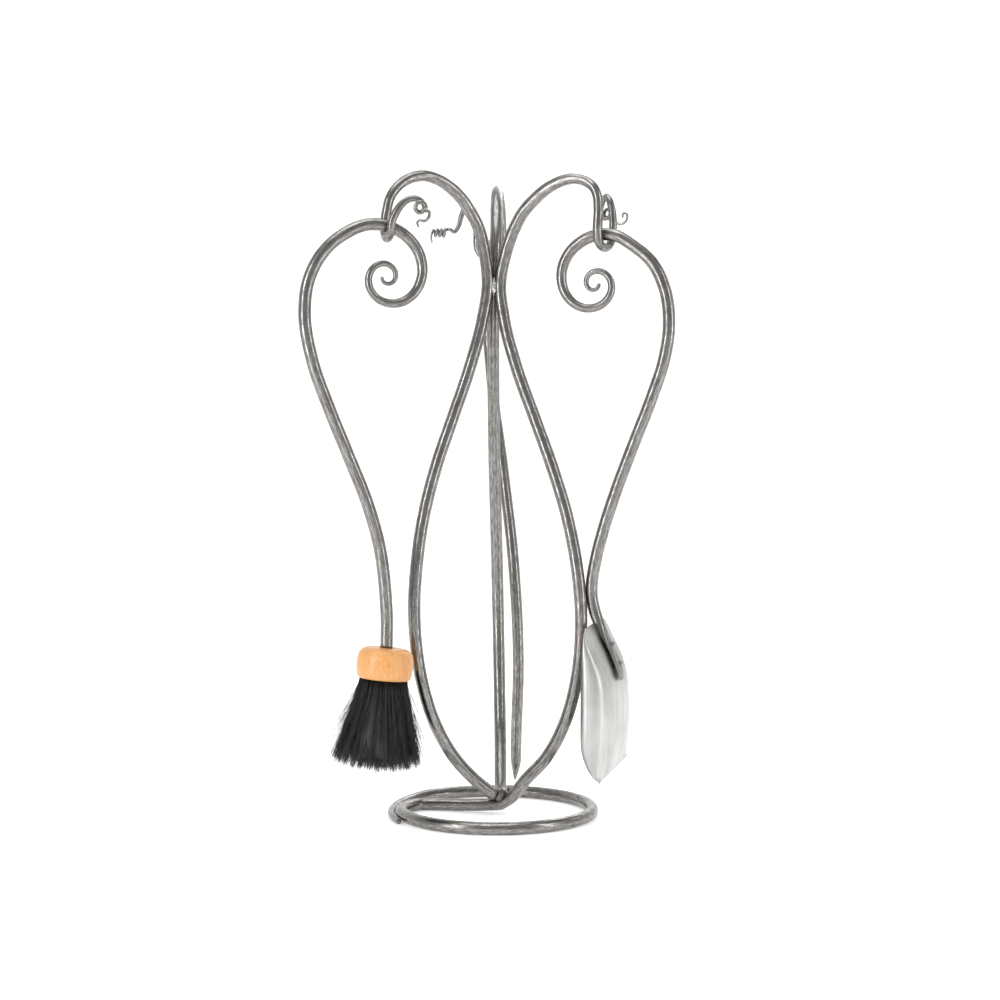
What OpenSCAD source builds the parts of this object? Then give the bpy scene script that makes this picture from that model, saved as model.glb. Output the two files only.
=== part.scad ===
// Hand-forged fireplace tool set: a three-armed stand of round steel bar with a
// hearth brush, an ash shovel and a poker, each hung by its scroll handle.
// Millimetres, +Z up, origin on the floor at the middle of the base ring.

/* [Bars] */
// Diameter of the round bar of the stand
bar_d = 12.7; // [12:0.1:13.2]
// Diameter of the round bar of the tool handles
handle_d = 12.4; // [12:0.1:12.8]
// Diameter of a hook at the bottom of its bend
hook_d = 8.8; // [8:0.1:9.2]

/* [Stand] */
// Diameter of the base ring, to the middle of its bar
ring_d = 196; // [190:1:204]
// Height of the highest arch, to the middle of its bar
arch_h = 648; // [644:1:652]
// Bend radius of the hooks, to the middle of the bar
hook_bend = 13.5; // [13:0.1:14]
// Gap between a hung handle and its hook
hook_gap = 0.3; // [0.2:0.05:0.5]
/* [Brush] */
// Largest diameter of the turned wooden head
head_d = 56; // [54:1:56]
// Height of the turned wooden head
head_h = 31; // [30:1:33]
// Tilt of the head out of plumb, in degrees
head_tilt = 5.5; // [4:0.5:6]
// Length of the bristles below the head
bristle_l = 92; // [84:1:94]
// Diameter of the bristle bundle at its lower end
bristle_d = 88; // [80:1:92]

/* [Shovel] */
// Width of the pan at its cutting edge
pan_w = 112; // [106:1:114]
// Width of the pan at its shoulders
pan_shoulder_w = 88; // [84:1:92]
// Thickness of the pan's sheet
pan_t = 1.6; // [1.4:0.1:1.8]
// Diameter of the two rivets
rivet_d = 6; // [5:0.5:6.5]

/* [Hidden] */
$fn = 64;

steel = "dimgray";
bright_steel = "lightgray";
bar_sides = 10;
ring_sides = 12;
bar_step = 13;
joint_y = 10;
waist_z = 545;
waist_r = bar_d / sqrt(3);

// --- curves -----------------------------------------------------------------
// A path is a list of [x, y, z, side radius, flat radius]. It is smoothed by
// Hermite segments whose slopes allow for unequal spacing.
function place(p) = [p.x, p.y, p.z];
function gap(a, b) = norm(place(b) - place(a));
function unit(v) = v / norm(v);
function slope(p, i) = let (
    last = len(p) - 1,
    before = gap(p[max(i - 1, 0)], p[max(i, 1)]),
    after = gap(p[min(i, last - 1)], p[min(i + 1, last)]))
  i == 0 ? (p[1] - p[0]) / after
  : i == last ? (p[last] - p[last - 1]) / before
  : ((p[i] - p[i - 1]) * after / before + (p[i + 1] - p[i]) * before / after) / (before + after);
function between(p, i, t) = let (d = gap(p[i], p[i + 1]))
  (1 + 2 * t) * (1 - t) * (1 - t) * p[i] + t * (1 - t) * (1 - t) * d * slope(p, i)
  + t * t * (3 - 2 * t) * p[i + 1] - t * t * (1 - t) * d * slope(p, i + 1);
function smooth(p) = [
  for (i = [0:len(p) - 2]) let (n = ceil(gap(p[i], p[i + 1]) / bar_step)) for (k = [0:n - 1]) between(p, i, k / n),
  p[len(p) - 1]];

// Directions along a path, and side directions carried along it without twist.
function headings(p) = let (last = len(p) - 1)
  [for (i = [0:last]) unit(place(p[min(i + 1, last)]) - place(p[max(i - 1, 0)]))];
function square_to(v, t) = unit(v - (v * t) * t);
function carried(t, first) =
  [for (i = 0, v = square_to(first, t[0]); i < len(t); i = i + 1, v = square_to(v, t[min(i, len(t) - 1)])) v];

// A closed bar along a path, with sides flat facets round it. A level bar keeps
// first as its side direction all along.
module sweep(p, first, sides, start = 0, level = false) {
  t = headings(p);
  side = level ? [for (v = t) first] : carried(t, first);
  last = len(p) - 1;
  points = [for (i = [0:last]) let (a = square_to(side[i], t[i]), b = cross(t[i], a))
    for (k = [0:sides - 1]) let (angle = start + 360 * k / sides)
      place(p[i]) + p[i][3] * cos(angle) * a + p[i][4] * sin(angle) * b];
  walls = [for (i = [0:last - 1]) for (k = [0:sides - 1]) let (
      a = i * sides + k,
      b = i * sides + (k + 1) % sides,
      flip = norm(points[a] - points[b + sides]) > norm(points[b] - points[a + sides]))
    each (flip ? [[a, b, a + sides], [b, b + sides, a + sides]] : [[a, b, b + sides], [a, b + sides, a + sides]])];
  foot = [[for (k = [0:sides - 1]) sides - 1 - k]];
  tip = [[for (k = [0:sides - 1]) last * sides + k]];
  polyhedron(points = points, faces = [for (f = concat(foot, walls, tip)) [for (k = [len(f) - 1:-1:0]) f[k]]]);
}

// --- frames -----------------------------------------------------------------
// The stand's middle line leans from its foot to below its waist, and comes
// back to the middle at the arches: [height, offset to the right].
lean_line = [[0, 4.2], [60, 4], [150, 2.5], [260, 0.2], [357, -2.3], [453, -3.4], [506, -3.2], [545, -2.5], [605, 0]];
function middle(z) = [lookup(z, lean_line), joint_y];

// A point of an arm, [outward, anticlockwise, up, radii], put into the model.
function on_arm(p, azimuth) = let (m = middle(p.z)) [
  m.x + p.x * cos(azimuth) - p.y * sin(azimuth),
  m.y + p.x * sin(azimuth) + p.y * cos(azimuth),
  p.z, p[3], p[4]];

// --- stand ------------------------------------------------------------------
// The bow in an arm's own plane: [outward, up]. All three arms share it.
bow = [[28.5, 36], [54.5, 63], [76.5, 101], [88.5, 138], [95, 177], [96.5, 213], [92.5, 260], [83, 309],
  [67.5, 358], [48, 407], [28, 457], [13, 506]];
// Each arch, down to where its hook begins: [outward, up from arch_h].
wide_arch = [[13, -71], [23, -43.5], [31, -31.5], [40.5, -19.5], [54.5, -8.5], [68, -2], [84, 0.5], [98, -2.5],
  [108, -8], [116, -15.5], [121.5, -24], [125, -37], [127, -51.5]];
tight_arch = [[13, -71], [21.5, -48], [31.5, -32.5], [44.5, -20.5], [62, -9], [76, -4], [90, -2.8], [104, -7],
  [111.5, -13], [115.5, -22], [116.5, -33], [116.5, -58]];
// Arm: [azimuth, reach, arch, hook's lowest middle, turn of the hook,
// sideways drift of the arch's end]
LEFT = [210, 127, wide_arch, 583, -12, 0];
RIGHT = [330, 116.5, tight_arch, 576.5, -6, 0];
REAR = [90, 123, wide_arch, 583, 0, -6];

function hook_center_z(arm) = arm[3] + hook_bend;
function hook_side(arm) = [cos(90 + arm[4]), sin(90 + arm[4])];
function hook_point(arm, along, across, z, r) = let (h = hook_side(arm))
  [arm[1] + along * h.x + across * h.y, arm[5] + along * h.y - across * h.x, z, r, r];
function hook_bend_points(arm) = [for (a = [30:30:180])
  hook_point(arm, hook_bend * (1 - cos(a)), 0, hook_center_z(arm) - hook_bend * sin(a),
    hook_d / 2 + 0.35 * (90 - a) / 90)];

// A corkscrew round a line that runs along the hook's side: turns of radius
// from r0 to r1, winding anticlockwise from angle a0 past the top.
function corkscrew(arm, along, across, z, pitch, turns, a0, r0, r1, d0, d1) =
  [for (k = [0:8 * turns]) let (f = k / (8 * turns), a = a0 - 45 * k, r = r0 + (r1 - r0) * f)
    hook_point(arm, along + pitch * k / 8, across + r * sin(a), z + r * cos(a), (d0 + (d1 - d0) * f) / 2)];

// The bar thins from the crown of its arch to the hook.
function arm_body(arm) = let (reach = arm[2][len(arm[2]) - 1].x)
  concat(
    [for (p = bow) [p.x, 0, p.y, bar_d / 2, bar_d / 2]],
    [[waist_r, 0, waist_z, bar_d / 2, bar_d / 2]],
    [for (p = arm[2]) let (f = max(p.x - 42, 0) / (reach - 42), r = bar_d / 2 - 1.5 * f)
      [p.x + (arm[1] - reach) * f, arm[5] * f * f, arch_h + p.y, r, r]],
    hook_bend_points(arm));

function whole_arm(arm, foot, tendril) = [for (p = concat(foot, arm_body(arm), tendril)) on_arm(p, arm[0])];

left_foot = [[9, 0, 20.5, bar_d / 2, bar_d / 2]];
right_foot = [[0, 0, 9.5, bar_d / 2, bar_d / 2], [12, 0, 17, bar_d / 2, bar_d / 2]];
rear_foot = [[5, 0, 19, bar_d / 2, bar_d / 2], [13, 0, 23.5, bar_d / 2, bar_d / 2]];

left_tendril = concat(
  [hook_point(LEFT, 27.5, -2.5, 604, 4), hook_point(LEFT, 28.5, -8, 613, 3.8),
    hook_point(LEFT, 30, -14, 618.5, 3.5), hook_point(LEFT, 32, -20, 620.5, 3.2),
    hook_point(LEFT, 34, -26, 619, 2.9), hook_point(LEFT, 36, -30, 614.5, 2.6)],
  corkscrew(LEFT, 38, -24.5, 611, 8, 1.25, -100, 5, 4.6, 4.6, 3.4),
  [hook_point(LEFT, 50, -31, 606, 1.6), hook_point(LEFT, 51, -30.5, 600, 1.5),
    hook_point(LEFT, 52, -26, 596.5, 1.4), hook_point(LEFT, 53, -21, 597, 1.3),
    hook_point(LEFT, 55, -18, 594, 1.1), hook_point(LEFT, 56, -19.5, 590.5, 0.9)]);
right_tendril = concat(
  [hook_point(RIGHT, 27, 0, 605, 4), hook_point(RIGHT, 27.5, -2, 617, 3.8),
    hook_point(RIGHT, 29, -6, 626.5, 3.5), hook_point(RIGHT, 32, -11, 630, 3.2),
    hook_point(RIGHT, 36, -17, 627.5, 2.9), hook_point(RIGHT, 39, -22, 620, 2.6)],
  corkscrew(RIGHT, 41, -19, 614, 7, 1.75, -100, 5, 4.4, 4.4, 3),
  [hook_point(RIGHT, 54, -15, 607, 1.4), hook_point(RIGHT, 55, -8, 604, 1.3),
    hook_point(RIGHT, 56, -2, 608, 1.2), hook_point(RIGHT, 56, -2, 614, 1.1),
    hook_point(RIGHT, 56, -6, 615, 1), hook_point(RIGHT, 56, -7, 611, 0.9)]);
rear_tendril = concat(
  [hook_point(REAR, 27.5, 0, 609, 4), hook_point(REAR, 29, 0, 624, 3.7),
    hook_point(REAR, 33, 0, 636, 3.4), hook_point(REAR, 39, 0, 637, 3.1),
    hook_point(REAR, 44, 0, 628, 2.8), hook_point(REAR, 48, 1, 615, 2.4),
    hook_point(REAR, 52, 1, 610, 2.1), hook_point(REAR, 57, 0, 613, 1.8)],
  corkscrew(REAR, 61, 0, 609, 4.4, 3, 20, 4, 3.7, 3.4, 2.6),
  [hook_point(REAR, 77, -2, 604, 1), hook_point(REAR, 76, 0, 599, 0.9)]);

module arm_bar(path) { color(steel) sweep(smooth(path), [0, 0, 1], bar_sides); }
module left_upright() { arm_bar(whole_arm(LEFT, left_foot, left_tendril)); }
module right_upright() { arm_bar(whole_arm(RIGHT, right_foot, right_tendril)); }
module rear_upright() { arm_bar(whole_arm(REAR, rear_foot, rear_tendril)); }

// The base is one bar: a tapered end outside the ring at the left, once round
// clockwise, then inwards as a spoke that rises to the foot of the uprights.
// Its lower facet lies on the floor.
flat_r = bar_d / 2 / cos(180 / ring_sides);
ring_r = ring_d / 2;
function ring_point(angle, r, scale) = [r * cos(angle), r * sin(angle), bar_d / 2 * scale, flat_r * scale, flat_r * scale];
// Beside the ring, the tapered end keeps to the floor and just clears the bar.
function tip_point(f) = ring_point(205 - 70 * f, ring_r + 10 - 4.6 * pow(f, 3), min(1, 0.42 + 0.58 * pow(f, 1.15)));
ring_path = concat(
  [for (k = [0:9]) tip_point(k / 9)],
  [for (a = [127:-8:-161]) ring_point(a, ring_r + 4.6 * pow(max(a - 65, 0) / 70, 2), 1)],
  [ring_point(-169, ring_r, 1), ring_point(-178, ring_r - 1.5, 1), ring_point(-187, ring_r - 5, 1)],
  [[-86, 20, bar_d / 2, flat_r, flat_r], [-78, 25.5, bar_d / 2, flat_r, flat_r],
    [-66, 25.5, bar_d / 2, flat_r, flat_r], [-48, 22, 6.6, flat_r, flat_r],
    [-30, 17.5, 7.2, flat_r, flat_r], [-12, 13.5, 8.2, flat_r, flat_r],
    [middle(0).x, joint_y, 9.5, flat_r, flat_r]]);
// A narrow flat is worn along the ring's lower side, where it rests on the floor.
worn_flat = 0.15;
module base_ring() {
  color(steel) difference() {
    translate([0, 0, -worn_flat]) sweep(ring_path, [0, 0, 1], ring_sides, 180 / ring_sides, level = true);
    translate([-ring_d, -ring_d, -bar_d]) cube([2 * ring_d, 2 * ring_d, bar_d]);
  }
}

module base_weld() {
  color(steel) translate([middle(20).x, joint_y + 1, 19]) sphere(r = 8);
}
module waist_weld() {
  color(steel) translate([middle(waist_z).x, joint_y, waist_z - 12]) cylinder(r = 8.6, h = 18);
}

// --- tools ------------------------------------------------------------------
// Each tool is drawn in its own frame: [outward, across, up], with outward 0
// where the handle crosses its hook, then put into the model.
function hook_seat(arm) = let (p = on_arm(hook_point(arm, hook_bend, 0, arm[3], 0), arm[0])) [p.x, p.y];
function seat_z(arm) = arm[3] + hook_d / 2 + hook_gap + handle_d / 2;
function on_tool(p, arm, azimuth) = let (s = hook_seat(arm)) [
  s.x + p.x * cos(azimuth) - p.y * sin(azimuth),
  s.y + p.x * sin(azimuth) + p.y * cos(azimuth),
  p.z, p[3], p[4]];
module tool_frame(arm, azimuth) { translate([hook_seat(arm).x, hook_seat(arm).y, 0]) rotate(azimuth) children(); }

BRUSH_AZ = 198;
SHOVEL_AZ = 342;
POKER_AZ = 90;

// A scroll is a logarithmic spiral that winds in from the top of the handle,
// and its bar thins as it winds.
function scroll(c, r0, z_top) = [for (a = [-20:20:630]) let (
    w = a * PI / 180,
    r = r0 * exp(-0.217 * w),
    bar = handle_d / 2 * (a < 0 ? 1 : exp(-0.115 * w)))
  [c - r * sin(a), 0, z_top - r0 + r * cos(a), bar, bar]];
function handle(p) = [for (q = p) [q.x, len(q) > 2 ? q.y : 0, len(q) > 2 ? q.z : q.y, handle_d / 2, handle_d / 2]];
module tool_bar(path, arm, azimuth) {
  color(steel) sweep(smooth([for (p = path) on_tool(p, arm, azimuth)]), [-sin(azimuth), cos(azimuth), 0], bar_sides);
}

// Brush
neck = [2, 180];
tang_d = 8;
brush_bow = [[1.5, 206], [3, 235], [8, 276], [21, 323], [40, 370], [59, 416], [75.5, 462], [83, 507], [79, 540],
  [64, 568], [43, 586]];
brush_path = concat(handle([neck]), handle(brush_bow), scroll(1, 50, seat_z(LEFT) + 1.1));
module on_brush() { tool_frame(LEFT, BRUSH_AZ) translate([neck.x, 0, neck.y]) rotate([0, -head_tilt, 0]) children(); }
tang_l = 32;
recess_d = 22;
recess_h = 9;
module brush_handle() {
  tool_bar(brush_path, LEFT, BRUSH_AZ);
  color(steel) on_brush() translate([0, 0, -tang_l]) cylinder(d = tang_d, h = tang_l + 4);
}

// The head is turned: its side is one round bulge between a small flat top and
// a wider flat foot.
head_top_r = 15;
head_foot_r = 23.5;
head_corner = [for (a = [90:-7.5:-90]) let (bulge = a > 0 ? head_top_r : head_foot_r, s = a > 0 ? 1 : -1)
  [bulge + (head_d / 2 - bulge) * pow(cos(a), 0.8), head_h / 2 * s * pow(abs(sin(a)), 0.75) - head_h / 2]];
tuft_rings = [[14.6, 9], [20, 14]];
tuft_d = 4.6;
tuft_l = 14;
module tufts(d, h) {
  for (ring = tuft_rings)
    for (k = [1:ring[1]])
      rotate(360 * k / ring[1]) translate([ring[0], 0, -head_h]) cylinder(d = d, h = h, $fn = 24);
}
module brush_head() {
  color("burlywood") on_brush() difference() {
    rotate_extrude($fn = 96) polygon(concat([[0, 0]], head_corner, [[0, -head_h]]));
    translate([0, 0, -head_h - 1]) cylinder(d = tang_d + 0.2, h = head_h + 2);
    translate([0, 0, -head_h - 1]) cylinder(d = recess_d, h = recess_h + 1);
    tufts(tuft_d + 0.1, tuft_l);
  }
}
washer_t = 1.6;
nut_h = 6.4;
module brush_washer() {
  color(bright_steel) on_brush() translate([0, 0, -head_h + recess_h - washer_t]) difference() {
    cylinder(d = 18, h = washer_t);
    translate([0, 0, -1]) cylinder(d = tang_d + 0.4, h = washer_t + 2);
  }
}
module brush_nut() {
  color(bright_steel) on_brush() translate([0, 0, -head_h + recess_h - washer_t - nut_h]) difference() {
    cylinder(d = 15, h = nut_h, $fn = 6);
    translate([0, 0, -1]) cylinder(d = tang_d + 0.02, h = nut_h + 2);
  }
}
module tuft_roots() { color("black") on_brush() tufts(tuft_d, tuft_l); }
// The bundle flares in a gentle curve and ends in a shallow dome. A pocket at
// its top clears the nut and the end of the tang.
bristle_side = [for (f = [0:0.125:1]) [22.6 + (bristle_d / 2 - 22.6) * pow(f, 1.35), -head_h - (bristle_l - 14) * f]];
module bristles() {
  color("black") on_brush() rotate_extrude() polygon(concat(
    [[recess_d / 2 + 0.5, -head_h]],
    bristle_side,
    [[bristle_d / 2 - 7, -head_h - bristle_l + 7], [bristle_d / 4, -head_h - bristle_l + 1], [0, -head_h - bristle_l]],
    [[0, -head_h - 10], [recess_d / 2 + 0.5, -head_h - 10]]));
}

// Shovel. The pan's back is outward and its hollow faces the stand. The back's
// middle line is [outward, up], from the top rim to the cutting edge.
pan_back = [[-9.5, 202], [-6.5, 197.5], [-0.5, 185], [7, 171.5], [12.5, 159], [16, 145], [17.5, 128], [17.5, 104],
  [15, 78], [9, 53]];
pan_rim = -9;
pan_skew = 5;
pan_pivot = [0, 0, 165];
back_path = [for (p = pan_back) [p.x, 0, p.y, 0, 0]];
pan_rows = 24;
pan_columns = 24;
function back_at(f) = let (n = len(back_path) - 1, i = min(floor(f * n), n - 1)) between(back_path, i, f * n - i);
function half_width(f) = (pan_shoulder_w + (pan_w - pan_shoulder_w) * min(1, f * 1.25)) / 2 * (1 - 0.3 * pow(1 - min(1, f * 3.2), 2.2));
function wall_height(f) = let (s = back_at(f).x)
  max(0.6, (s - pan_rim + 1.5 * f) * pow(1 - pow(max(0, f - 0.82) / 0.18, 2.2), 0.6));
function pan_point(f, a) = let (
    p = back_at(f),
    side = a < 0 ? -1 : 1,
    w = half_width(f) * side * pow(abs(sin(a)), 0.55),
    h = wall_height(f) * (1 - pow(abs(cos(a)), 0.45)))
  [p.x - h, w, p.z];
function pan_normal(f, a) = let (
    along = pan_point(min(f + 0.01, 1), a) - pan_point(max(f - 0.01, 0), a),
    around = pan_point(f, min(a + 3, 90)) - pan_point(f, max(a - 3, -90)))
  unit(cross(along, around));
module shovel_pan() {
  rows = pan_rows + 1;
  columns = pan_columns + 1;
  outer = [for (i = [0:pan_rows]) for (k = [0:pan_columns]) pan_point(i / pan_rows, -90 + 180 * k / pan_columns)];
  inner = [for (i = [0:pan_rows]) for (k = [0:pan_columns]) let (f = i / pan_rows, a = -90 + 180 * k / pan_columns)
    pan_point(f, a) - pan_t * pan_normal(f, a)];
  n = rows * columns;
  function id(i, k, layer) = layer * n + i * columns + k;
  function quad(a, b, c, d) = [[a, b, c], [a, c, d]];
  faces = concat(
    [for (i = [0:pan_rows - 1]) for (k = [0:pan_columns - 1])
      each quad(id(i, k, 0), id(i, k + 1, 0), id(i + 1, k + 1, 0), id(i + 1, k, 0))],
    [for (i = [0:pan_rows - 1]) for (k = [0:pan_columns - 1])
      each quad(id(i, k, 1), id(i + 1, k, 1), id(i + 1, k + 1, 1), id(i, k + 1, 1))],
    [for (i = [0:pan_rows - 1]) each quad(id(i, 0, 0), id(i + 1, 0, 0), id(i + 1, 0, 1), id(i, 0, 1))],
    [for (i = [0:pan_rows - 1]) each quad(id(i, pan_columns, 0), id(i, pan_columns, 1),
      id(i + 1, pan_columns, 1), id(i + 1, pan_columns, 0))],
    [for (k = [0:pan_columns - 1]) each quad(id(0, k, 0), id(0, k, 1), id(0, k + 1, 1), id(0, k + 1, 0))],
    [for (k = [0:pan_columns - 1]) each quad(id(pan_rows, k, 0), id(pan_rows, k + 1, 0),
      id(pan_rows, k + 1, 1), id(pan_rows, k, 1))]);
  polyhedron(points = concat(outer, inner), faces = faces);
}
module on_pan() { tool_frame(RIGHT, SHOVEL_AZ) translate(pan_pivot) rotate([pan_skew, 0, 0]) translate(-pan_pivot) children(); }
module shovel_blade() { color(bright_steel) on_pan() shovel_pan(); }

// The handle's lower end is forged into a flat palm that lies on the back.
palm = [[19, 0, 146, 5.5, 1.8], [18.6, 0, 149, 9, 2], [16, 0, 159, 12, 2.3], [11.6, 0, 169.5, 12, 2.6],
  [6, 0, 180, 10, 3.2], [0.5, 0, 190, 7.8, 4.4], [-4.5, 0, 200, 6.6, 5.6]];
shovel_bow = [[-9, 212], [-12, 224], [-12.5, 240], [-9, 262], [0, 297], [12, 333], [30, 380], [49, 428], [61, 464], [66, 498],
  [61, 536], [48, 561.5], [31, 576.5]];
shovel_path = concat(palm, handle(shovel_bow), scroll(-10, 47.5, seat_z(RIGHT) + 1.2));
module shovel_handle() { tool_bar(shovel_path, RIGHT, SHOVEL_AZ); }
// Each rivet: [outward, up, tilt of its axis].
rivets = [[7.2, 180, 29], [15.3, 161, 24]];
module shovel_rivets() {
  color(steel) tool_frame(RIGHT, SHOVEL_AZ) for (r = rivets)
    translate([r[0], 0, r[1]]) rotate([0, 90 - r[2], 0]) {
      cylinder(d = rivet_d, h = 4.2);
      translate([0, 0, -8.5]) cylinder(d = rivet_d, h = 4);
      translate([0, 0, -6]) cylinder(d = rivet_d * 0.6, h = 8);
    }
}

// Poker: [outward, across, up]. It hangs a little out of plumb.
poker_point = [[2, -28.5, 13, 1.4, 1.4], [2, -29, 20, 3.2, 3.2], [2, -29.5, 32, 5.6, 5.6], [2, -29.5, 45, 6, 6]];
poker_bow = [[2, -30.5, 80], [2, -32, 125], [2, -31.5, 170], [3, -29, 220], [8, -25, 270], [21, -19, 322],
  [40, -13, 370], [59, -6.5, 416], [75.5, -2, 462], [83, 1.5, 507], [79, 2.5, 540], [64, 2, 568], [43, 1, 586]];
poker_path = concat(poker_point, handle(poker_bow), scroll(1, 50, seat_z(REAR) + 1.1));
module poker_bar() { tool_bar(poker_path, REAR, POKER_AZ); }

base_ring();
left_upright();
right_upright();
rear_upright();
base_weld();
waist_weld();
brush_handle();
brush_head();
brush_washer();
brush_nut();
tuft_roots();
bristles();
shovel_handle();
shovel_blade();
shovel_rivets();
poker_bar();
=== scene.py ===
"""Looks of a hand-forged fireplace tool set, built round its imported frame.

Bars are smooth sweeps along the same routes as the CAD bars, the brush is made
of separate fibres, and every surface has a procedural material. Routes are in
millimetres, as in the part's source, and become metres when a mesh is made.
"""

import math
import random

import bpy
import numpy as np
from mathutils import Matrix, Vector, noise


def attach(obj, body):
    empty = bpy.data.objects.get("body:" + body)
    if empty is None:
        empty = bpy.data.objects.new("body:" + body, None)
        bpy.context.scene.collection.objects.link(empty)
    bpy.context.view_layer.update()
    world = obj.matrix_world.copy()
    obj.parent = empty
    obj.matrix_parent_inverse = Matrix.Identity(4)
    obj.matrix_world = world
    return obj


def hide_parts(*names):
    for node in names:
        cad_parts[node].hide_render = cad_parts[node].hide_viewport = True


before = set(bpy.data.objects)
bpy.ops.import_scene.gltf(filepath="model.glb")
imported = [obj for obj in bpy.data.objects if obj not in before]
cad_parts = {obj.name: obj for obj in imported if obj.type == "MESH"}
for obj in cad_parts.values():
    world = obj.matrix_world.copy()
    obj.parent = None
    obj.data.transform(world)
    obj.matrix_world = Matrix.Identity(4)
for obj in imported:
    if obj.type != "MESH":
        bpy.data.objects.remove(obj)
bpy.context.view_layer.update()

MM = 0.001
rng = random.Random(17)


# --- camera and stage ---------------------------------------------------------
def make_camera():
    data = bpy.data.cameras.new("camera")
    data.sensor_width = 36
    data.lens = 68.4
    camera = bpy.data.objects.new("camera", data)
    camera.location = (0.0036, -1.938, 0.392)
    camera.rotation_euler = (math.radians(90 - 2.02), 0, 0)
    bpy.context.scene.collection.objects.link(camera)
    bpy.context.scene.camera = camera


def make_light(name, place, target, width, height, watts, tint=(1, 1, 1)):
    data = bpy.data.lights.new(name, "AREA")
    data.shape = "RECTANGLE"
    data.size = width
    data.size_y = height
    data.energy = watts
    data.color = tint
    light = bpy.data.objects.new(name, data)
    light.location = place
    light.rotation_euler = (Vector(target) - Vector(place)).to_track_quat("-Z", "Y").to_euler()
    bpy.context.scene.collection.objects.link(light)


def make_stage():
    world = bpy.data.worlds.new("studio")
    world.use_nodes = True
    background = world.node_tree.nodes["Background"]
    background.inputs["Color"].default_value = (1, 1, 1, 1)
    background.inputs["Strength"].default_value = 0.5
    bpy.context.scene.world = world
    bpy.context.scene.view_settings.view_transform = "Standard"

    # Pale paper: flat on the floor, then up a quarter turn to a wall behind the object.
    paper_front, paper_half_width, paper_top = -14.0, 14.0, 6.0
    bend_start, bend_r, bend_steps = 2.0, 1.2, 24
    profile = [(paper_front, 0.0), (bend_start, 0.0)]
    for k in range(1, bend_steps + 1):
        turn = math.radians(90 * k / bend_steps)
        profile.append((bend_start + bend_r * math.sin(turn), bend_r * (1 - math.cos(turn))))
    profile.append((bend_start + bend_r, paper_top))
    points = [(x, y, z) for y, z in profile for x in (-paper_half_width, paper_half_width)]
    faces = [(2 * k, 2 * k + 1, 2 * k + 3, 2 * k + 2) for k in range(len(profile) - 1)]
    mesh = bpy.data.meshes.new("floor")
    mesh.from_pydata(points, [], faces)
    mesh.polygons.foreach_set("use_smooth", [True] * len(faces))
    floor = bpy.data.objects.new("floor", mesh)
    bpy.context.scene.collection.objects.link(floor)
    paper = new_material("paper", (0.94, 0.94, 0.94), 0.8)
    paper.shader.inputs["Emission Color"].default_value = (1, 1, 1, 1)
    paper.shader.inputs["Emission Strength"].default_value = 0.4
    mesh.materials.append(paper.material)

    aim = (0, 0, 0.33)
    make_light("left_strip", (-1.25, -1.15, 0.75), aim, 0.30, 1.6, 15)
    make_light("right_strip", (1.45, -0.75, 0.7), aim, 0.22, 1.6, 9)
    make_light("top_box", (-0.2, -0.2, 2.1), (0, 0, 0), 1.4, 1.4, 16)
    make_light("rear_box", (0.6, 1.6, 1.5), aim, 1.0, 1.0, 8)


# --- materials ----------------------------------------------------------------
class Paint:
    """A material with its principled shader, and short calls for its nodes."""

    def __init__(self, name):
        self.material = bpy.data.materials.new(name)
        self.material.use_nodes = True
        self.tree = self.material.node_tree
        self.shader = self.tree.nodes["Principled BSDF"]

    def node(self, kind, **inputs):
        made = self.tree.nodes.new(kind)
        for key, value in inputs.items():
            socket = made.inputs[key]
            if hasattr(value, "is_output"):
                self.tree.links.new(value, socket)
            else:
                socket.default_value = value
        return made

    def link(self, output, key):
        self.tree.links.new(output, self.shader.inputs[key])

    def place(self, scale, source="object"):
        """Coordinates of the object, or along and round a bar, stretched by scale."""
        if source == "object":
            where = self.node("ShaderNodeTexCoord").outputs["Object"]
        else:
            where = self.tree.nodes.new("ShaderNodeAttribute")
            where.attribute_name = source
            where = where.outputs["Vector"]
        return self.node("ShaderNodeMapping", Vector=where, Scale=scale).outputs["Vector"]

    def noise(self, vector, scale, detail=4.0, roughness=0.55):
        made = self.node("ShaderNodeTexNoise", Vector=vector, Scale=scale, Detail=detail, Roughness=roughness)
        return made.outputs["Fac"]

    def ramp(self, value, stops):
        made = self.node("ShaderNodeValToRGB", Fac=value)
        ramp = made.color_ramp
        while len(ramp.elements) < len(stops):
            ramp.elements.new(0.5)
        for element, (at, colour) in zip(ramp.elements, stops):
            element.position = at
            element.color = colour if len(colour) == 4 else (*colour, 1)
        return made.outputs["Color"]

    def mix(self, kind, amount, a, b):
        made = self.tree.nodes.new("ShaderNodeMix")
        made.data_type = "RGBA"
        made.blend_type = kind
        for key, value in (("Factor_Float", amount), ("A_Color", a), ("B_Color", b)):
            socket = next(s for s in made.inputs if s.identifier == key)
            if hasattr(value, "is_output"):
                self.tree.links.new(value, socket)
            else:
                socket.default_value = value
        return next(s for s in made.outputs if s.identifier == "Result_Color")

    def span(self, value, low, high, to_low, to_high):
        made = self.node("ShaderNodeMapRange", Value=value)
        for key, number in (("From Min", low), ("From Max", high), ("To Min", to_low), ("To Max", to_high)):
            made.inputs[key].default_value = number
        return made.outputs["Result"]

    def bump(self, height, strength, distance, below=None):
        made = self.node("ShaderNodeBump", Height=height, Strength=strength, Distance=distance)
        if below:
            self.tree.links.new(below, made.inputs["Normal"])
        return made.outputs["Normal"]


def new_material(name, colour, roughness, metallic=0.0):
    paint = Paint(name)
    paint.shader.inputs["Base Color"].default_value = (*colour, 1)
    paint.shader.inputs["Roughness"].default_value = roughness
    paint.shader.inputs["Metallic"].default_value = metallic
    return paint


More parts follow.
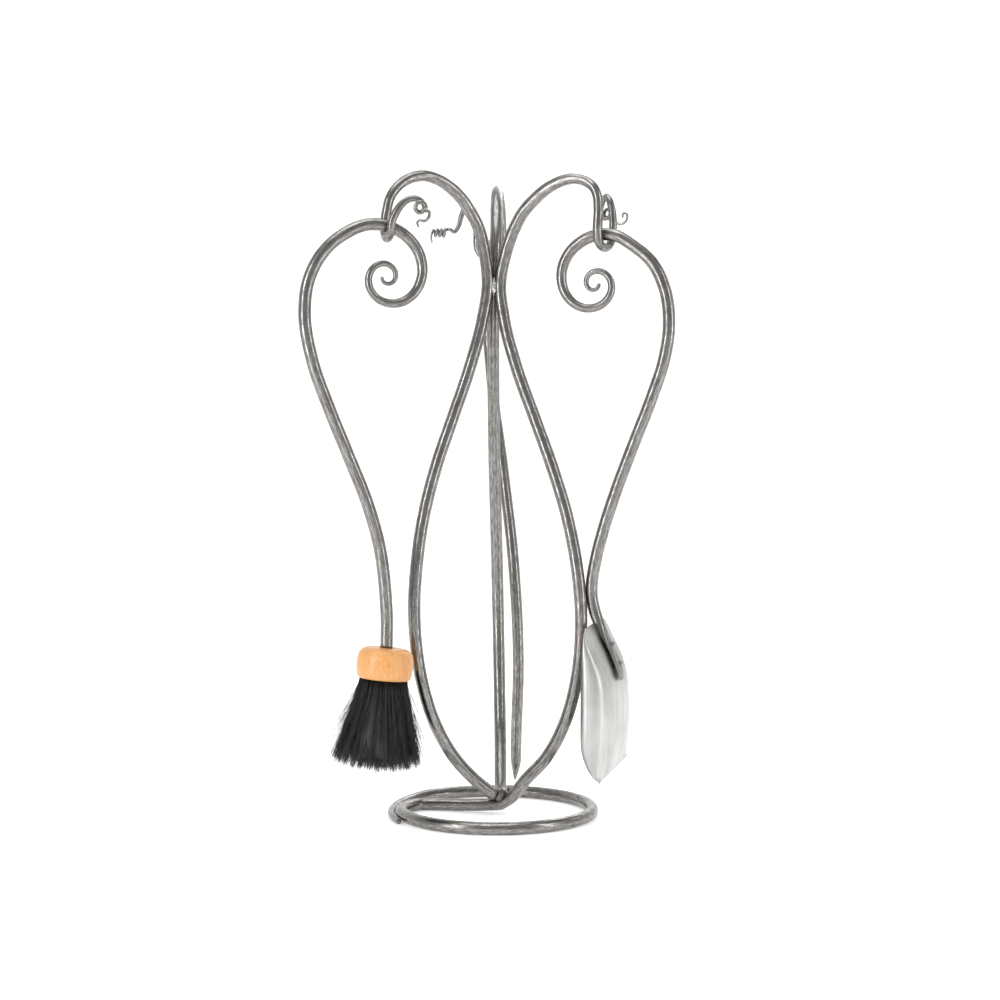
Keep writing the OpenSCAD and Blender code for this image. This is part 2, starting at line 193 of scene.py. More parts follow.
def forged_steel(name, light, dark, grain):
    """Wire-brushed and waxed bar: fine lengthwise streaks over faint scale, with small hammer dents."""
    paint = new_material(name, light, 0.36, 1.0)
    mottle = paint.noise(paint.place((1, 1, 1)), 240, 5, 0.6)
    broad = paint.noise(paint.place((1, 1, 1)), 34, 3, 0.5)
    streak = paint.noise(paint.place((6, 6, 11), grain), 1.0, 5, 0.62)
    middle_tone = [(a + b) / 2 for a, b in zip(dark, light)]
    tone = paint.ramp(streak, [(0.3, dark), (0.5, middle_tone), (0.7, light)])
    tone = paint.mix("MULTIPLY", 0.25, tone, paint.ramp(mottle, [(0.36, (0.6, 0.58, 0.56)), (0.58, (1, 1, 1))]))
    tone = paint.mix("MULTIPLY", 0.35, tone, paint.ramp(broad, [(0.35, (0.74, 0.72, 0.7)), (0.62, (1, 1, 1))]))
    paint.link(tone, "Base Color")
    paint.link(paint.span(streak, 0.35, 0.65, 0.36, 0.22), "Roughness")
    dents = paint.bump(broad, 0.12, 0.0005)
    fine = paint.bump(mottle, 0.1, 0.00008, dents)
    paint.link(paint.bump(streak, 0.12, 0.0001, fine), "Normal")
    return paint.material


def bright_sheet(name):
    """Polished sheet with brush lines that run from the shoulders to the edge."""
    paint = new_material(name, (0.8, 0.8, 0.78), 0.25, 1.0)
    line = paint.noise(paint.place((150, 150, 5)), 1.0, 5, 0.6)
    cloud = paint.noise(paint.place((1, 1, 1)), 28, 3, 0.5)
    tone = paint.ramp(line, [(0.35, (0.44, 0.44, 0.43)), (0.62, (0.54, 0.54, 0.525))])
    tone = paint.mix("MULTIPLY", 0.5, tone, paint.ramp(cloud, [(0.35, (0.82, 0.82, 0.8)), (0.6, (1, 1, 1))]))
    paint.link(tone, "Base Color")
    paint.link(paint.span(cloud, 0.35, 0.65, 0.46, 0.36), "Roughness")
    paint.link(paint.bump(line, 0.25, 0.0002, paint.bump(cloud, 0.2, 0.001)), "Normal")
    return paint.material


def oiled_wood(name):
    """Pale turned beech: fine upright grain with short flecks and a satin finish."""
    paint = new_material(name, (0.83, 0.56, 0.3), 0.42)
    grain = paint.noise(paint.place((1, 1, 0.14)), 700, 5, 0.6)
    broad = paint.noise(paint.place((1, 1, 0.2)), 60, 3, 0.5)
    fleck = paint.noise(paint.place((1, 1, 0.22)), 900, 2, 0.5)
    tone = paint.ramp(grain, [(0.3, (0.6, 0.27, 0.08)), (0.5, (0.68, 0.33, 0.105)), (0.7, (0.75, 0.39, 0.14))])
    tone = paint.mix("MULTIPLY", 0.6, tone, paint.ramp(broad, [(0.36, (0.88, 0.8, 0.7)), (0.62, (1, 1, 1))]))
    tone = paint.mix("MULTIPLY", 0.5, tone, paint.ramp(fleck, [(0.3, (0.72, 0.6, 0.5)), (0.44, (1, 1, 1))]))
    paint.link(tone, "Base Color")
    paint.link(paint.span(grain, 0.3, 0.7, 0.48, 0.38), "Roughness")
    paint.shader.inputs["Coat Weight"].default_value = 0.25
    paint.shader.inputs["Coat Roughness"].default_value = 0.3
    paint.link(paint.bump(grain, 0.2, 0.0003), "Normal")
    return paint.material


def stiff_fibre(name):
    paint = new_material(name, (0.016, 0.016, 0.018), 0.45)
    shade = paint.noise(paint.place((1, 1, 0.15)), 500, 3, 0.6)
    paint.link(paint.ramp(shade, [(0.35, (0.003, 0.003, 0.0035)), (0.65, (0.024, 0.0235, 0.0245))]), "Base Color")
    paint.link(paint.span(shade, 0.35, 0.65, 0.6, 0.42), "Roughness")
    return paint.material


# --- mesh helpers -------------------------------------------------------------
def add_object(name, points, faces, material, body, replaced, slot, attribute=None, smooth=True):
    mesh = bpy.data.meshes.new(name)
    mesh.from_pydata([tuple(p) for p in np.asarray(points, float) * MM], [], faces)
    mesh.validate()
    if smooth:
        mesh.shade_smooth()
    if attribute:
        data = mesh.attributes.new(attribute[0], "FLOAT_VECTOR", "POINT")
        data.data.foreach_set("vector", np.asarray(attribute[1], np.float32).ravel())
    mesh.materials.append(material)
    made = bpy.data.objects.new(name, mesh)
    bpy.context.scene.collection.objects.link(made)
    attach(made, body)
    if replaced:
        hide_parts(*replaced)
    return made


def unit(v):
    return v / np.linalg.norm(v)


def smooth_path(rows, step):
    """Hermite curve through rows of [x, y, z, side radius, flat radius], as in the part's source."""
    p = np.asarray(rows, float)
    d = np.linalg.norm(np.diff(p[:, :3], axis=0), axis=1)
    last = len(p) - 1
    slope = np.zeros_like(p)
    for i in range(last + 1):
        if i == 0:
            slope[i] = (p[1] - p[0]) / d[0]
        elif i == last:
            slope[i] = (p[last] - p[last - 1]) / d[last - 1]
        else:
            before, after = d[i - 1], d[i]
            ahead, behind = (p[i + 1] - p[i]) * before / after, (p[i] - p[i - 1]) * after / before
            slope[i] = (ahead + behind) / (before + after)
    out = []
    for i in range(last):
        n = max(1, math.ceil(d[i] / step))
        for k in range(n):
            t = k / n
            out.append(
                (1 + 2 * t) * (1 - t) ** 2 * p[i] + t * (1 - t) ** 2 * d[i] * slope[i]
                + t * t * (3 - 2 * t) * p[i + 1] - t * t * (1 - t) * d[i] * slope[i + 1])
    out.append(p[last])
    return np.array(out)


def rounded_ends(path, start, end, rings=6):
    """Adds caps to a path: each is a quarter ellipse that reaches start or end radii past the tip."""
    def cap(tip, inner, reach):
        out = unit(tip[:3] - inner[:3])
        rows = []
        for k in range(1, rings + 1):
            a = math.pi / 2 * k / rings
            row = tip.copy()
            row[:3] = tip[:3] + out * reach * tip[4] * math.sin(a)
            row[3:] = tip[3:] * max(math.cos(a), 0.02)
            rows.append(row)
        return rows
    head = cap(path[0], path[1], start)[::-1]
    tail = cap(path[-1], path[-2], end)
    return np.array(head + list(path) + tail)


def sweep(path, first, sides, dent=0.1, level=False, caps=(0.6, 0.6)):
    """Points, faces and grain coordinates of a bar along a path, with a hand-forged surface."""
    path = rounded_ends(path, *caps)
    n = len(path)
    place = path[:, :3]
    heading = [unit(place[min(i + 1, n - 1)] - place[max(i - 1, 0)]) for i in range(n)]
    side = np.asarray(first, float)
    points, grain = [], []
    length = 0.0
    for i in range(n):
        t = heading[i]
        if level:
            side = np.asarray(first, float)
        side = unit(side - side.dot(t) * t)
        across = np.cross(t, side)
        if i:
            length += np.linalg.norm(place[i] - place[i - 1])
        for k in range(sides):
            a = 2 * math.pi * k / sides
            c, s = math.cos(a), math.sin(a)
            bumpy = noise.noise(Vector((c * 0.9, s * 0.9, length / 13)))
            bumpy += 0.6 * noise.noise(Vector((c * 0.5 + 7, s * 0.5, length / 41)))
            push = dent * min(1.0, path[i][3] / 5) * bumpy
            points.append(place[i] + (path[i][3] + push) * c * side + (path[i][4] + push) * s * across)
            grain.append((c, s, length * MM * 10))
    faces = []
    for i in range(n - 1):
        for k in range(sides):
            a, b = i * sides + k, i * sides + (k + 1) % sides
            faces.append((a, b, b + sides, a + sides))
    faces.append(tuple(range(sides))[::-1])
    faces.append(tuple((n - 1) * sides + k for k in range(sides)))
    return points, faces, grain


# --- routes, in millimetres -----------------------------------------------------
BAR_D, HANDLE_D, HOOK_D = 12.7, 12.4, 8.8
RING_R, ARCH_H = 98, 648
HOOK_BEND, HOOK_GAP = 13.5, 0.3
# Extra height of a scroll above its hook, so that it swings without touching
SEAT_GAP, SHOVEL_SEAT_GAP = 1.1, 1.2
JOINT_Y, WAIST_Z = 10, 545
WAIST_R = BAR_D / math.sqrt(3)
LEAN_LINE = [(0, 4.2), (60, 4), (150, 2.5), (260, 0.2), (357, -2.3), (453, -3.4), (506, -3.2), (545, -2.5), (605, 0)]
BOW = [(28.5, 36), (54.5, 63), (76.5, 101), (88.5, 138), (95, 177), (96.5, 213), (92.5, 260), (83, 309),
       (67.5, 358), (48, 407), (28, 457), (13, 506)]
WIDE_ARCH = [(13, -71), (23, -43.5), (31, -31.5), (40.5, -19.5), (54.5, -8.5), (68, -2), (84, 0.5), (98, -2.5),
             (108, -8), (116, -15.5), (121.5, -24), (125, -37), (127, -51.5)]
TIGHT_ARCH = [(13, -71), (21.5, -48), (31.5, -32.5), (44.5, -20.5), (62, -9), (76, -4), (90, -2.8), (104, -7),
              (111.5, -13), (115.5, -22), (116.5, -33), (116.5, -58)]


class Arm:
    """One arm of the stand: a bow, an arch and a hook, in the arm's own plane."""

    def __init__(self, azimuth, reach, arch, hook_z, turn, drift):
        self.azimuth = math.radians(azimuth)
        self.reach, self.arch, self.hook_z, self.drift = reach, arch, hook_z, drift
        self.side = (math.cos(math.radians(90 + turn)), math.sin(math.radians(90 + turn)))

    def put(self, p):
        """A point [outward, anticlockwise, up, radii] of the arm, put into the model."""
        mx, my = middle(p[2])
        c, s = math.cos(self.azimuth), math.sin(self.azimuth)
        return [mx + p[0] * c - p[1] * s, my + p[0] * s + p[1] * c, p[2], p[3], p[4]]

    def hook_point(self, along, across, z, r):
        h = self.side
        return [self.reach + along * h[0] + across * h[1], self.drift + along * h[1] - across * h[0], z, r, r]

    def corkscrew(self, along, across, z, pitch, turns, a0, r0, r1, d0, d1):
        rows = []
        for k in range(int(8 * turns) + 1):
            f = k / (8 * turns)
            a = math.radians(a0 - 45 * k)
            r = r0 + (r1 - r0) * f
            rows.append(self.hook_point(along + pitch * k / 8, across + r * math.sin(a), z + r * math.cos(a),
                                        (d0 + (d1 - d0) * f) / 2))
        return rows

    def body(self):
        reach = self.arch[-1][0]
        rows = [[x, 0, z, BAR_D / 2, BAR_D / 2] for x, z in BOW]
        rows.append([WAIST_R, 0, WAIST_Z, BAR_D / 2, BAR_D / 2])
        for x, z in self.arch:
            f = max(x - 42, 0) / (reach - 42)
            r = BAR_D / 2 - 1.5 * f
            rows.append([x + (self.reach - reach) * f, self.drift * f * f, ARCH_H + z, r, r])
        for a in range(30, 181, 30):
            turn = math.radians(a)
            rows.append(self.hook_point(
                HOOK_BEND * (1 - math.cos(turn)), 0, self.hook_z + HOOK_BEND * (1 - math.sin(turn)),
                HOOK_D / 2 + 0.35 * (90 - a) / 90))
        return rows

    def whole(self, foot, tendril):
        return [self.put(p) for p in foot + self.body() + tendril]

    def seat(self):
        p = self.put(self.hook_point(HOOK_BEND, 0, self.hook_z, 0))
        return p[0], p[1], self.hook_z + HOOK_D / 2 + HOOK_GAP + HANDLE_D / 2


def middle(z):
    heights, offsets = zip(*LEAN_LINE)
    return float(np.interp(z, heights, offsets)), JOINT_Y


LEFT = Arm(210, 127, WIDE_ARCH, 583, -12, 0)
RIGHT = Arm(330, 116.5, TIGHT_ARCH, 576.5, -6, 0)
REAR = Arm(90, 123, WIDE_ARCH, 583, 0, -6)

R = BAR_D / 2
LEFT_FOOT = [[9, 0, 20.5, R, R]]
RIGHT_FOOT = [[0, 0, 9.5, R, R], [12, 0, 17, R, R]]
REAR_FOOT = [[5, 0, 19, R, R], [13, 0, 23.5, R, R]]


def bent(arm, rows):
    return [arm.hook_point(*row) for row in rows]


LEFT_TENDRIL = (
    bent(LEFT, [(27.5, -2.5, 604, 4), (28.5, -8, 613, 3.8), (30, -14, 618.5, 3.5), (32, -20, 620.5, 3.2),
                (34, -26, 619, 2.9), (36, -30, 614.5, 2.6)])
    + LEFT.corkscrew(38, -24.5, 611, 8, 1.25, -100, 5, 4.6, 4.6, 3.4)
    + bent(LEFT, [(50, -31, 606, 1.6), (51, -30.5, 600, 1.5), (52, -26, 596.5, 1.4), (53, -21, 597, 1.3),
                  (55, -18, 594, 1.1), (56, -19.5, 590.5, 0.9)]))
RIGHT_TENDRIL = (
    bent(RIGHT, [(27, 0, 605, 4), (27.5, -2, 617, 3.8), (29, -6, 626.5, 3.5), (32, -11, 630, 3.2),
                 (36, -17, 627.5, 2.9), (39, -22, 620, 2.6)])
    + RIGHT.corkscrew(41, -19, 614, 7, 1.75, -100, 5, 4.4, 4.4, 3)
    + bent(RIGHT, [(54, -15, 607, 1.4), (55, -8, 604, 1.3), (56, -2, 608, 1.2), (56, -2, 614, 1.1),
                   (56, -6, 615, 1), (56, -7, 611, 0.9)]))
REAR_TENDRIL = (
    bent(REAR, [(27.5, 0, 609, 4), (29, 0, 624, 3.7), (33, 0, 636, 3.4), (39, 0, 637, 3.1), (44, 0, 628, 2.8),
                (48, 1, 615, 2.4), (52, 1, 610, 2.1), (57, 0, 613, 1.8)])
    + REAR.corkscrew(61, 0, 609, 4.4, 3, 20, 4, 3.7, 3.4, 2.6)
    + bent(REAR, [(77, -2, 604, 1), (76, 0, 599, 0.9)]))


def ring_route():
    def at(angle, r, scale=1.0):
        a = math.radians(angle)
        return [r * math.cos(a), r * math.sin(a), R * scale, R * scale, R * scale]
    rows = []
    for k in range(10):
        f = k / 9
        rows.append(at(205 - 70 * f, RING_R + 10 - 4.6 * f ** 3, min(1, 0.42 + 0.58 * f ** 1.15)))
    rows += [at(a, RING_R + 4.6 * (max(a - 65, 0) / 70) ** 2) for a in range(127, -162, -8)]
    rows += [at(-169, RING_R), at(-178, RING_R - 1.5), at(-187, RING_R - 5)]
    spoke = [(-86, 20, R), (-78, 25.5, R), (-66, 25.5, R), (-48, 22, 6.6), (-30, 17.5, 7.2), (-12, 13.5, 8.2),
             (middle(0)[0], JOINT_Y, 9.5)]
    return rows + [[x, y, z, R, R] for x, y, z in spoke]


class Hung:
    """The frame of a hung tool: outward from its hook, across, and up."""

    def __init__(self, arm, azimuth):
        self.azimuth = math.radians(azimuth)
        self.x, self.y, self.top = arm.seat()

    def put(self, p):
        c, s = math.cos(self.azimuth), math.sin(self.azimuth)
        return [self.x + p[0] * c - p[1] * s, self.y + p[0] * s + p[1] * c, *p[2:]]

    def across(self):
        return (-math.sin(self.azimuth), math.cos(self.azimuth), 0)


BRUSH, SHOVEL, POKER = Hung(LEFT, 198), Hung(RIGHT, 342), Hung(REAR, 90)
H = HANDLE_D / 2


def handle(rows):
    return [[p[0], p[1] if len(p) > 2 else 0, p[-1], H, H] for p in rows]


def scroll(c, r0, z_top):
    rows = []
    for a in range(-20, 631, 20):
        w = math.radians(a)
        r = r0 * math.exp(-0.217 * w)
        bar = H * (1 if a < 0 else math.exp(-0.115 * w))
        rows.append([c - r * math.sin(w), 0, z_top - r0 + r * math.cos(w), bar, bar])
    return rows


NECK = (2, 180)
BRUSH_BOW = [NECK, (1.5, 206), (3, 235), (8, 276), (21, 323), (40, 370), (59, 416), (75.5, 462), (83, 507),
             (79, 540), (64, 568), (43, 586)]
PALM = [[19, 0, 146, 5.5, 1.8], [18.6, 0, 149, 9, 2], [16, 0, 159, 12, 2.3], [11.6, 0, 169.5, 12, 2.6],
        [6, 0, 180, 10, 3.2], [0.5, 0, 190, 7.8, 4.4], [-4.5, 0, 200, 6.6, 5.6]]
SHOVEL_BOW = [(-9, 212), (-12, 224), (-12.5, 240), (-9, 262), (0, 297), (12, 333), (30, 380), (49, 428), (61, 464),
              (66, 498), (61, 536), (48, 561.5), (31, 576.5)]
POKER_POINT = [[2, -28.5, 13, 1.4, 1.4], [2, -29, 20, 3.2, 3.2], [2, -29.5, 32, 5.6, 5.6], [2, -29.5, 45, 6, 6]]
POKER_BOW = [(2, -30.5, 80), (2, -32, 125), (2, -31.5, 170), (3, -29, 220), (8, -25, 270), (21, -19, 322),
             (40, -13, 370), (59, -6.5, 416), (75.5, -2, 462), (83, 1.5, 507), (79, 2.5, 540), (64, 2, 568),
             (43, 1, 586)]


# --- stand and bars ---------------------------------------------------------------
STEP = 2.5
SIDES = 28


def bar(name, rows, first, body, replaced, slot, material, **how):
    path = smooth_path(rows, STEP) if how.pop("smooth", True) else np.array(rows, float)
    points, faces, grain = sweep(path, first, how.pop("sides", SIDES), **how)
    return add_object(name, points, faces, material, body, replaced, slot, ("grain", grain))


def make_stand(steel):
    up = (0, 0, 1)
    where = dict(body="stand", slot="stand_steel", material=steel)
    bar("left_arm", LEFT.whole(LEFT_FOOT, LEFT_TENDRIL), up, replaced=["left_upright"], caps=(0.2, 0.8), **where)
    bar("right_arm", RIGHT.whole(RIGHT_FOOT, RIGHT_TENDRIL), up, replaced=["right_upright"], caps=(0.3, 0.8), **where)
    bar("rear_arm", REAR.whole(REAR_FOOT, REAR_TENDRIL), up, replaced=["rear_upright"], caps=(0.2, 0.8), **where)
    bar("ring_bar", ring_route(), up, replaced=["base_ring"], caps=(0.5, 0.3), level=True, **where)


def blob(name, centre, radii, ripples, body, replaced, slot, material, seed):
    """A weld: a lumpy closed bead with ripples along its height."""
    points, faces = [], []
    rows, columns = 40, 48
    for i in range(rows + 1):
        v = math.pi * i / rows
        for k in range(columns):
            u = 2 * math.pi * k / columns
            d = Vector((math.sin(v) * math.cos(u), math.sin(v) * math.sin(u), math.cos(v)))
            lump = 1 + 0.10 * noise.noise(d * 1.7 + Vector((seed, 0, 0))) + 0.05 * noise.noise(d * 4 + Vector((0, seed, 0)))
            lump += 0.02 * math.sin(ripples * d.z * math.pi + 1.4 * d.x)
            points.append([centre[j] + radii[j] * lump * math.copysign(abs(d[j]) ** (0.75 if j == 2 else 1), d[j])
                           for j in range(3)])
    for i in range(rows):
        for k in range(columns):
            a, b = i * columns + k, i * columns + (k + 1) % columns
            faces.append((a, b, b + columns, a + columns)[::-1])
    return add_object(name, points, faces, material, body, replaced, slot, ("grain", [(0, 0, p[2] * MM) for p in points]))


def make_welds(steel, bright):
    x, y = middle(20)
    blob("foot_weld", (x, y + 1, 19), (7.6, 7.6, 7.8), 3, "stand", ["base_weld"], "stand_steel", steel, 3)
    x, y = middle(WAIST_Z)
    blob("waist_bead", (x, y, 541.5), (8.2, 8.2, 9.5), 5, "stand", ["waist_weld"], "stand_steel", bright, 5)


# --- tools --------------------------------------------------------------------
def make_bars(steel):
    seat = BRUSH.top + SEAT_GAP
    brush = handle(BRUSH_BOW) + scroll(1, 50, seat)
    bar("brush_bar", [BRUSH.put(p) for p in brush], BRUSH.across(), "brush", ["brush_handle"], "handle_steel", steel,
        caps=(0.1, 0.6))
    shovel = PALM + handle(SHOVEL_BOW) + scroll(-10, 47.5, SHOVEL.top + SHOVEL_SEAT_GAP)
    bar("shovel_bar", [SHOVEL.put(p) for p in shovel], SHOVEL.across(), "shovel", ["shovel_handle"], "handle_steel",
        steel, sides=40)
    poker = POKER_POINT + handle(POKER_BOW) + scroll(1, 50, POKER.top + SEAT_GAP)
    bar("poker_rod", [POKER.put(p) for p in poker], POKER.across(), "poker", ["poker_bar"], "handle_steel", steel)


HEAD_D, HEAD_H, HEAD_TILT = 56, 31, math.radians(5.5)
HEAD_TOP_R, HEAD_FOOT_R = 15, 23.5
BRISTLE_L, BRISTLE_R = 92, 44
TUFTS, HAIRS_A_TUFT, TUFT_ROOT_R = 300, 15, 22.2
STRAY_HAIRS, STRAY_ROOT_R, STRAY_HAIR_R = 170, 21.5, 0.2


def head_point(p):
    """A point of the tilted head, from its own axis to the model."""
    c, s = math.cos(-HEAD_TILT), math.sin(-HEAD_TILT)
    return BRUSH.put([NECK[0] + p[0] * c + p[2] * s, p[1], NECK[1] - p[0] * s + p[2] * c])


def make_head(wood):
    outline = [(H + 0.1, -3.0), (H + 0.3, -0.6), (H + 1.4, 0.05)]
    steps = 56
    for k in range(steps + 1):
        a = math.radians(90 - 180 * k / steps)
        bulge = HEAD_TOP_R if a > 0 else HEAD_FOOT_R
        outline.append((bulge + (HEAD_D / 2 - bulge) * math.cos(a) ** 0.8 if k < steps else bulge,
                        HEAD_H / 2 * math.copysign(abs(math.sin(a)) ** 0.75, a) - HEAD_H / 2))
    outline += [(HEAD_FOOT_R - 0.8, -HEAD_H + 0.2), (11, -HEAD_H + 0.2), (11, -HEAD_H + 9)]
    columns = 128
    points = [head_point([r * math.cos(2 * math.pi * k / columns), r * math.sin(2 * math.pi * k / columns), z])
              for r, z in outline for k in range(columns)]
    faces = []
    for i in range(len(outline) - 1):
        for k in range(columns):
            a, b = i * columns + k, i * columns + (k + 1) % columns
            faces.append((a, b, b + columns, a + columns)[::-1])
    add_object("wooden_head", points, faces, wood, "brush", ["brush_head"], "head_wood")


def strand(points, faces, path, radius):
    """Adds a tapered three-sided fibre along a path."""
    sides = 3
    start = len(points)
    n = len(path)
    for i, p in enumerate(path):
        t = unit(np.subtract(path[min(i + 1, n - 1)], path[max(i - 1, 0)]))
        a = unit(np.cross(t, (0.3, 1, 0.1)))
        b = np.cross(t, a)
        r = radius * (1 - 0.75 * (i / (n - 1)) ** 2)
        for k in range(sides):
            w = 2 * math.pi * k / sides
            points.append(np.asarray(p) + r * math.cos(w) * a + r * math.sin(w) * b)
    for i in range(n - 1):
        for k in range(sides):
            a, b = start + i * sides + k, start + i * sides + (k + 1) % sides
            faces.append((a, b, b + sides, a + sides))
    faces.append((start + 2, start + 1, start))
    faces.append(tuple(start + (n - 1) * sides + k for k in range(sides)))


def fibre_path(root, tip, bend, wave, phase):
    """A fibre from root to tip in the head's frame: it leaves the head straight and bows out."""
    rows = []
    for i in range(8):
        f = i / 7
        out = f ** bend
        wobble = wave * math.sin(phase + 4.5 * f) * f
        x = root[0] + (tip[0] - root[0]) * out + wobble * math.cos(phase * 3)
        y = root[1] + (tip[1] - root[1]) * out + wobble * math.sin(phase * 3)
        z = root[2] + (tip[2] - root[2]) * f
        rows.append(head_point([x, y, z]))
    return rows


def make_bristles(fibre):
    points, faces = [], []
    root_z = -HEAD_H + 1
    for _ in range(TUFTS):
        share = math.sqrt(rng.random())
        angle = rng.uniform(0, 2 * math.pi)
        root_r = share * TUFT_ROOT_R
        reach = share * (BRISTLE_R + 0.5) * rng.uniform(0.92, 1.06)
        length = BRISTLE_L - 8 * share ** 3 - rng.uniform(0, 8)
        lean = rng.uniform(-0.12, 0.12)
        clump = (rng.uniform(0.8, 1.5), rng.uniform(0, 6.28))
        for _ in range(HAIRS_A_TUFT):
            spread, turn = rng.uniform(0, 4.2), rng.uniform(0, 2 * math.pi)
            root = (root_r * math.cos(angle) + 0.55 * spread * math.cos(turn),
                    root_r * math.sin(angle) + 0.55 * spread * math.sin(turn), root_z)
            tip = (reach * math.cos(angle + lean) + spread * math.cos(turn),
                   reach * math.sin(angle + lean) + spread * math.sin(turn),
                   -HEAD_H - length + rng.uniform(-1.5, 5))
            strand(points, faces, fibre_path(root, tip, rng.uniform(1.15, 1.5), *clump), rng.uniform(0.2, 0.34))
    for _ in range(STRAY_HAIRS):
        angle = rng.uniform(0, 2 * math.pi)
        reach = rng.uniform(44, 58)
        length = rng.uniform(52, 84)
        root = (STRAY_ROOT_R * math.cos(angle), STRAY_ROOT_R * math.sin(angle), root_z)
        tip = (reach * math.cos(angle), reach * math.sin(angle), -HEAD_H - length)
        path = fibre_path(root, tip, rng.uniform(1.0, 1.4), rng.uniform(0.5, 3), rng.uniform(0, 6))
        strand(points, faces, path, STRAY_HAIR_R)
    core_start = len(points)
    columns = 40
    core = [(0.1, 4), (19, 4), (22, 20), (31, 55), (33, 74), (0.1, 78)]
    for r, below in core:
        z = -HEAD_H - below
        for k in range(columns):
            a = 2 * math.pi * k / columns
            points.append(head_point([r * math.cos(a), r * math.sin(a), z]))
    for i in range(len(core) - 1):
        for k in range(columns):
            a, b = core_start + i * columns + k, core_start + i * columns + (k + 1) % columns
            faces.append((a, b, b + columns, a + columns)[::-1])
    add_object("fibre_bundle", points, faces, fibre, "brush", ["bristles"], "bristle_fibre", smooth=True)


# --- shovel pan -----------------------------------------------------------------
PAN_W, PAN_SHOULDER_W, PAN_T = 112, 88, 1.6
PAN_BACK = [(-9.5, 202), (-6.5, 197.5), (-0.5, 185), (7, 171.5), (12.5, 159), (16, 145), (17.5, 128), (17.5, 104),
            (15, 78), (9, 53)]
PAN_RIM, PAN_SKEW = -9, math.radians(5)
PAN_PIVOT_Z = 165


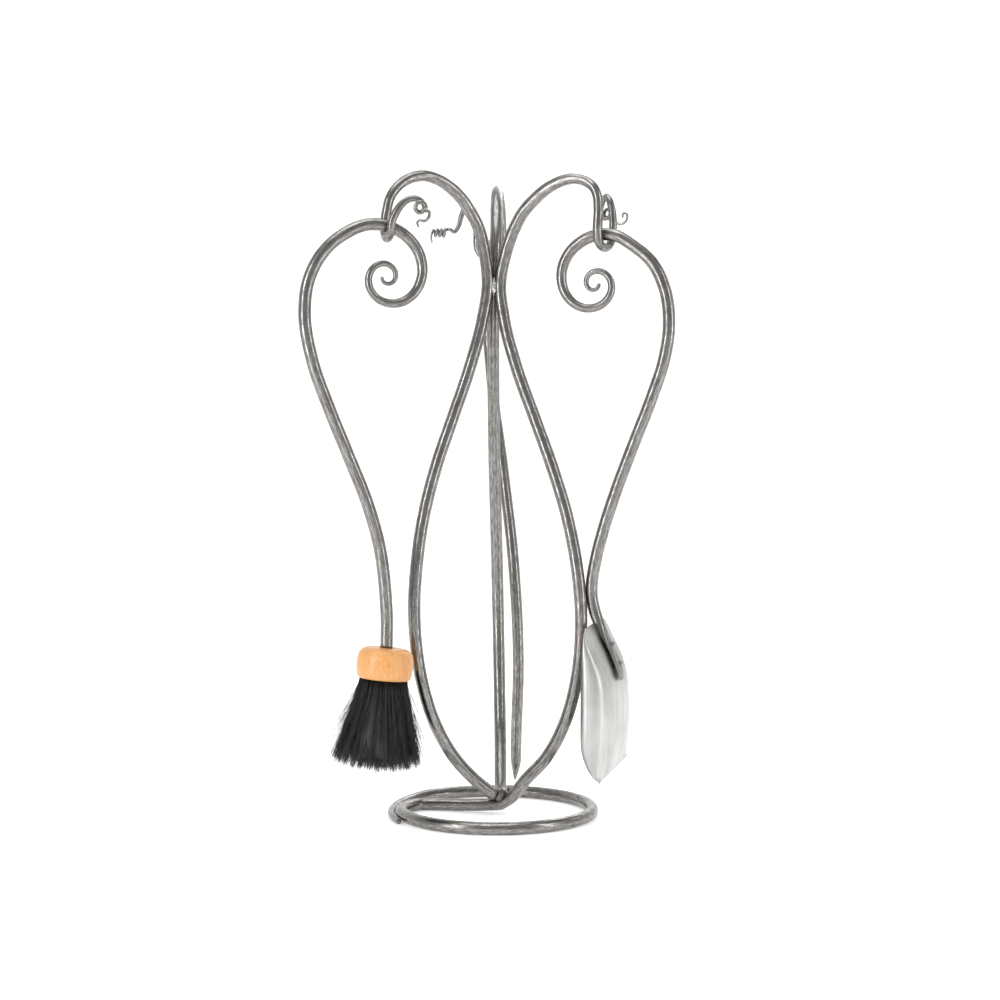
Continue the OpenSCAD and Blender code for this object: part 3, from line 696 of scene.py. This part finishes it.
def make_pan(sheet):
    rows = np.array([[s, 0, z, 0, 0] for s, z in PAN_BACK], float)
    count = 90
    curve = smooth_path(rows, 1.0)
    share = np.linspace(0, len(curve) - 1, count + 1)
    index = np.arange(len(curve))
    back_s = np.interp(share, index, curve[:, 0])
    back_z = np.interp(share, index, curve[:, 2])
    knots = [int(np.argmin(np.hypot(curve[:, 0] - s, curve[:, 2] - z))) for s, z in PAN_BACK]
    back_f = np.interp(share, knots, np.linspace(0, 1, len(PAN_BACK)))
    columns = 80

    def point(i, a):
        f, s, z = back_f[i], back_s[i], back_z[i]
        width = (PAN_SHOULDER_W + (PAN_W - PAN_SHOULDER_W) * min(1, f * 1.25)) / 2
        width *= 1 - 0.3 * (1 - min(1, f * 3.2)) ** 2.2
        wall = max(0.6, (s - PAN_RIM + 1.5 * f) * max(0.0, 1 - (max(0, f - 0.82) / 0.18) ** 2.2) ** 0.6)
        rise = wall * (1 - abs(math.cos(a)) ** 0.45)
        return np.array([s - rise, width * math.copysign(abs(math.sin(a)) ** 0.55, a), z])

    angles = [math.radians(-90 + 180 * k / columns) for k in range(columns + 1)]
    outer = np.array([[point(i, a) for a in angles] for i in range(count + 1)])
    along = np.gradient(outer, axis=0)
    around = np.gradient(outer, axis=1)
    normal = np.cross(along, around)
    normal /= np.linalg.norm(normal, axis=2, keepdims=True) + 1e-9
    inner = outer - PAN_T * normal
    c, s = math.cos(PAN_SKEW), math.sin(PAN_SKEW)

    def put(p):
        y, z = p[1], p[2] - PAN_PIVOT_Z
        return SHOVEL.put([p[0], y * c - z * s, PAN_PIVOT_Z + y * s + z * c])

    layers = [outer.reshape(-1, 3), inner.reshape(-1, 3)]
    points = [put(p) for layer in layers for p in layer]
    n, w = len(layers[0]), columns + 1
    faces = []
    for i in range(count):
        for k in range(columns):
            a = i * w + k
            faces.append((a, a + w, a + w + 1, a + 1))
            faces.append((n + a, n + a + 1, n + a + w + 1, n + a + w))
    rim = [k for k in range(w)] + [i * w + columns for i in range(1, count + 1)]
    rim += [count * w + k for k in range(columns - 1, -1, -1)] + [i * w for i in range(count - 1, 0, -1)]
    for a, b in zip(rim, rim[1:] + rim[:1]):
        faces.append((a, b, n + b, n + a))
    add_object("pan_sheet", points, faces, sheet, "shovel", ["shovel_blade"], "pan_steel")


RIVETS = [(7.2, 180, 29), (15.3, 161, 24)]


def make_rivets(steel):
    points, faces = [], []
    columns = 32
    profile = [(0.05, 4.6), (1.0, 4.5), (1.9, 4.1), (2.6, 3.4), (2.95, 2.6), (3.0, 1.4), (1.8, 1.2), (1.8, -4.4),
               (3.0, -4.6), (2.9, -5.6), (2.3, -6.6), (1.2, -7.3), (0.05, -7.5)]
    for s, z, tilt in RIVETS:
        start = len(points)
        t = math.radians(tilt)
        axis, side = (math.cos(t), math.sin(t)), (-math.sin(t), math.cos(t))
        for r, h in profile:
            for k in range(columns):
                a = 2 * math.pi * k / columns
                wob = 1 + 0.04 * math.sin(3 * a + s)
                u, v = r * wob * math.cos(a), r * wob * math.sin(a)
                points.append(SHOVEL.put([s + axis[0] * h + side[0] * u, v, z + axis[1] * h + side[1] * u]))
        for i in range(len(profile) - 1):
            for k in range(columns):
                a, b = start + i * columns + k, start + i * columns + (k + 1) % columns
                faces.append((a, b, b + columns, a + columns))
    add_object("rivet_pair", points, faces, steel, "shovel", ["shovel_rivets"], "fastener_steel",
               ("grain", [(0, 0, p[2] * MM) for p in points]))


# --- the scene --------------------------------------------------------------------
make_camera()
make_stage()

steel = forged_steel("forged_steel", (0.4, 0.39, 0.375), (0.085, 0.08, 0.075), "grain")
weld_steel = forged_steel("weld_steel", (0.8, 0.79, 0.77), (0.3, 0.29, 0.28), "grain")
dark_steel = forged_steel("dark_steel", (0.4, 0.39, 0.38), (0.1, 0.095, 0.09), "grain")
sheet = bright_sheet("bright_sheet")
wood = oiled_wood("oiled_wood")
fibre = stiff_fibre("stiff_fibre")

make_stand(steel)
make_welds(steel, weld_steel)
make_bars(steel)
make_head(wood)
make_bristles(fibre)
make_pan(sheet)
make_rivets(dark_steel)

for name, material in (("brush_washer", dark_steel), ("brush_nut", dark_steel), ("tuft_roots", fibre)):
    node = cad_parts[name]
    node.data.materials.clear()
    node.data.materials.append(material)
